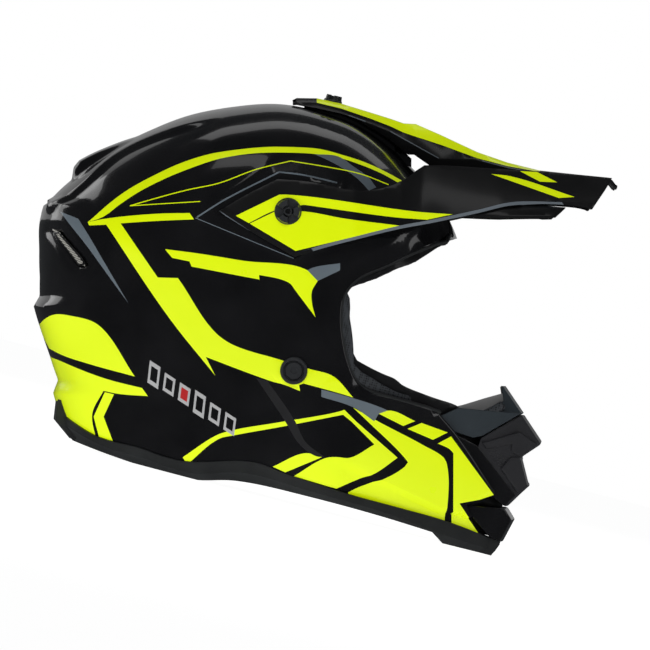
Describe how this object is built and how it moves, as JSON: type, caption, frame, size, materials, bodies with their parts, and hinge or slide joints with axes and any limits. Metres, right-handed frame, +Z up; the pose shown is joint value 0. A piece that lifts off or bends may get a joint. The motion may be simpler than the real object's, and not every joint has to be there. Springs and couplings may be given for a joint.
{
  "type": "motocross helmet",
  "caption": "Full-face off-road helmet with a long adjustable peak, vented mouthpiece, eye port without visor, padded liner and D-ring chin strap.",
  "frame": {"origin": "middle of the helmet's footprint at table height, on the mid-plane", "axes": "+X the way the wearer faces, +Y the wearer's left, +Z up, as the helmet stands on its lower edge leant back by 14.6 degrees"},
  "size_m": [0.3802, 0.2574, 0.2881],
  "materials": {
    "gloss_black": "gloss clear-coated, with fluorescent yellow and grey-blue graphics",
    "satin_black": "satin moulded",
    "slate": "satin moulded",
    "rubber": "matt extruded",
    "vent_metal": "satin, slatted",
    "foam": "expanded bead foam",
    "fabric": "brushed knit",
    "webbing": "woven nylon",
    "steel": "plated"
  },
  "bodies": {
    "shell": {"outer_shell": "gloss_black", "mouth_vent_cover": "gloss_black", "chin_vent": "gloss_black", "strap_rivet_left": "satin_black", "strap_rivet_right": "satin_black", "cheek_stud_left_1": "satin_black", "cheek_stud_left_2": "satin_black", "cheek_stud_left_3": "satin_black", "cheek_stud_right_1": "satin_black", "cheek_stud_right_2": "satin_black", "cheek_stud_right_3": "satin_black", "nose_guard": "slate", "face_opening_trim": "rubber", "lower_edge_trim": "rubber", "strap_cover_ring_left": "rubber", "strap_cover_ring_right": "rubber", "rear_vent_grille_left": "vent_metal", "rear_vent_grille_right": "vent_metal", "crown_exhaust_grille": "vent_metal", "mouth_vent_grille": "vent_metal", "impact_liner_crown": "foam", "cheek_foam_left": "foam", "cheek_foam_right": "foam", "chin_bar_foam_left": "foam", "chin_bar_foam_right": "foam", "comfort_liner_crown": "fabric", "neck_roll": "fabric", "cheek_pad_left": "fabric", "cheek_pad_right": "fabric", "strap_upper_left": "webbing", "strap_upper_right": "webbing", "screw_insert_left": "steel", "screw_insert_right": "steel", "screw_insert_top": "steel", "strap_anchor_plate_left": "steel", "strap_anchor_plate_right": "steel"},
    "peak": {"peak": "satin_black"},
    "side_screw_left": {"peak_screw_left": "satin_black"},
    "side_screw_right": {"peak_screw_right": "satin_black"},
    "top_screw": {"peak_screw_top": "satin_black"},
    "chin_strap": {"strap_long_end": "webbing", "strap_ring_end": "webbing", "d_ring_upper": "steel", "d_ring_lower": "steel", "strap_snap": "steel"}
  },
  "joints": [
    {"name": "peak_tilt", "type": "hinge", "parent": "shell", "child": "peak", "pos_m": [-0.02701, 0, 0.19577], "axis": [0, -1, 0], "range_deg": [-6, 4]},
    {"name": "side_screw_left_turn", "type": "hinge", "parent": "shell", "child": "side_screw_left", "pos_m": [-0.02701, 0, 0.19577], "axis": [0, 1, 0], "continuous": true},
    {"name": "side_screw_right_turn", "type": "hinge", "parent": "shell", "child": "side_screw_right", "pos_m": [-0.02701, 0, 0.19577], "axis": [0, -1, 0], "continuous": true},
    {"name": "top_screw_turn", "type": "hinge", "parent": "shell", "child": "top_screw", "pos_m": [-0.01705, 0, 0.28051], "axis": [-0.0105, 0, 0.9999], "continuous": true},
    {"name": "chin_strap_swing", "type": "hinge", "parent": "shell", "child": "chin_strap", "pos_m": [0.02047, 0, 0.02936], "axis": [0, -1, 0], "range_deg": [-25, 25]}
  ]
}
